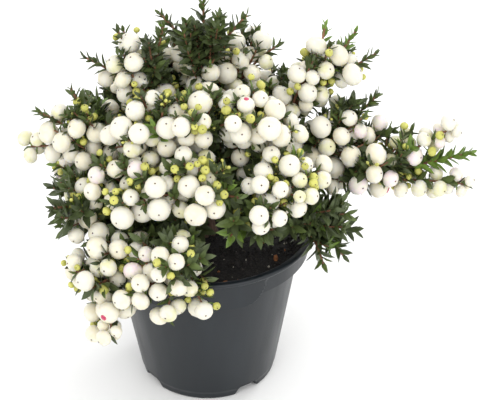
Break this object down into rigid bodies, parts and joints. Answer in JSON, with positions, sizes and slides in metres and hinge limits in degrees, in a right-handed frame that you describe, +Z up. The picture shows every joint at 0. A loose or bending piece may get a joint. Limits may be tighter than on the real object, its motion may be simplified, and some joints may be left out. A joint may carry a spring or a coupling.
{
  "type": "potted prickly heath shrub",
  "caption": "Small evergreen berry shrub in a round plastic grower's pot: arching boughs, prickly leafy shoots and dense clusters of round white berries.",
  "frame": {"origin": "middle of the pot's flat underside", "axes": "+Z up along the pot's axis, -Y towards the front of the plant as seen, +X towards the long reaching shoots on its right"},
  "size_m": [0.252, 0.1745, 0.2371],
  "materials": {
    "pot": "dark blue-grey moulded plastic, satin, fine vertical sheen",
    "soil": "crumbly moist peat with pale grit",
    "bark": "thin brown bark, redder on young twigs",
    "foliage": "glossy dark green leaves with waxy white berries"
  },
  "bodies": {
    "root": {"pot": "pot", "soil": "soil", "trunk": "bark", "bough_crown_top": "bark", "bough_upper_left": "bark", "bough_upper_front_left": "bark", "bough_upper_front": "bark", "bough_upper_front_right": "bark", "bough_upper_right": "bark", "bough_upper_back_right": "bark", "bough_upper_back_left": "bark", "bough_left": "bark", "bough_front_left": "bark", "bough_front_middle": "bark", "bough_front_right": "bark", "bough_right": "bark", "bough_back_right": "bark", "bough_back": "bark", "bough_back_left": "bark", "bough_left_low": "bark", "bough_lower_left": "bark", "bough_front_low_left": "bark", "bough_front_low": "bark", "bough_right_low": "bark", "bough_right_far": "bark", "bough_low_back_left": "bark", "bough_low_back": "bark", "bough_low_back_right": "bark", "foliage_crown_top": "foliage", "foliage_upper_left": "foliage", "foliage_upper_front_left": "foliage", "foliage_upper_front": "foliage", "foliage_upper_front_right": "foliage", "foliage_upper_right": "foliage", "foliage_upper_back_right": "foliage", "foliage_upper_back_left": "foliage", "foliage_left": "foliage", "foliage_front_left": "foliage", "foliage_front_middle": "foliage", "foliage_front_right": "foliage", "foliage_right": "foliage", "foliage_back_right": "foliage", "foliage_back": "foliage", "foliage_back_left": "foliage", "foliage_left_low": "foliage", "foliage_lower_left": "foliage", "foliage_front_low_left": "foliage", "foliage_front_low": "foliage", "foliage_right_low": "foliage", "foliage_right_far": "foliage", "foliage_low_back_left": "foliage", "foliage_low_back": "foliage", "foliage_low_back_right": "foliage"}
  },
  "joints": []
}
